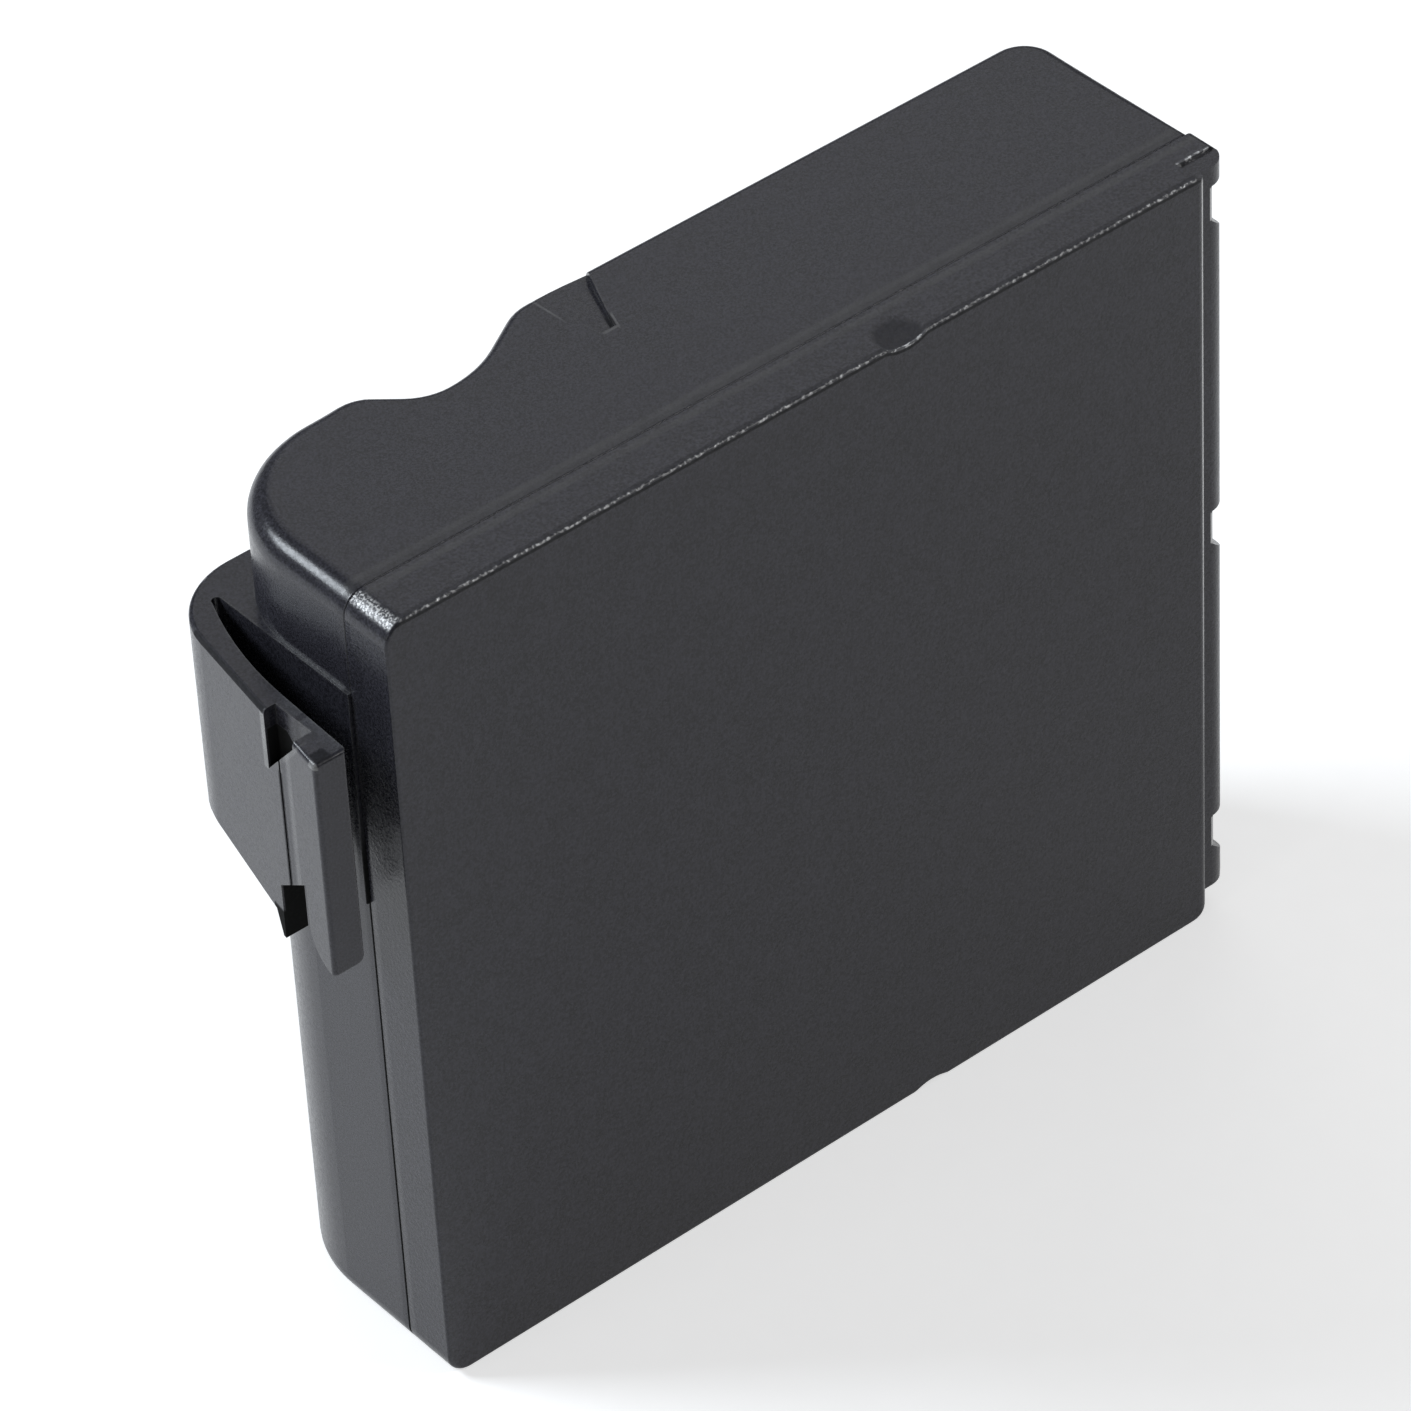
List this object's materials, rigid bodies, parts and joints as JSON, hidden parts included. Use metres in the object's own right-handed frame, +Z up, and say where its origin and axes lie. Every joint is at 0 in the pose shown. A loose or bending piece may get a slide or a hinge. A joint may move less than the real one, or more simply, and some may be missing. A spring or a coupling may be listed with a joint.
{
  "type": "mobile printer battery",
  "caption": "Black battery pack for a mobile printer, with a spring latch on one end and a finger groove in the back.",
  "frame": {"origin": "middle of the pack's box, at the bottom", "axes": "+X from the latch end to the contact end, +Y from the front cover to the back, +Z up"},
  "size_m": [0.0877, 0.023, 0.0734],
  "materials": {
    "case_plastic": "satin",
    "cell_sleeve": "gloss",
    "nickel": "satin",
    "insulator_card": "matte",
    "pad_foam": "matte",
    "board_laminate": "satin",
    "chip_body": "matte",
    "contact_plating": "polished",
    "lead_jacket": "satin"
  },
  "bodies": {
    "root": {"housing": "case_plastic", "front_cover": "case_plastic", "cell_1": "cell_sleeve", "cell_2": "cell_sleeve", "cell_3": "cell_sleeve", "cell_4": "cell_sleeve", "strap_positive": "nickel", "strap_negative": "nickel", "strap_middle": "nickel", "insulator_rings": "insulator_card", "top_insulator": "insulator_card", "bottom_insulator": "insulator_card", "board_insulator": "insulator_card", "end_pad": "pad_foam", "circuit_board": "board_laminate", "gauge_chip": "chip_body", "mosfet_1": "chip_body", "mosfet_2": "chip_body", "sense_resistor": "chip_body", "thermal_fuse": "chip_body", "contact_1": "contact_plating", "contact_2": "contact_plating", "contact_3": "contact_plating", "contact_4": "contact_plating", "contact_5": "contact_plating", "positive_lead": "lead_jacket", "thermistor": "lead_jacket"}
  },
  "joints": []
}
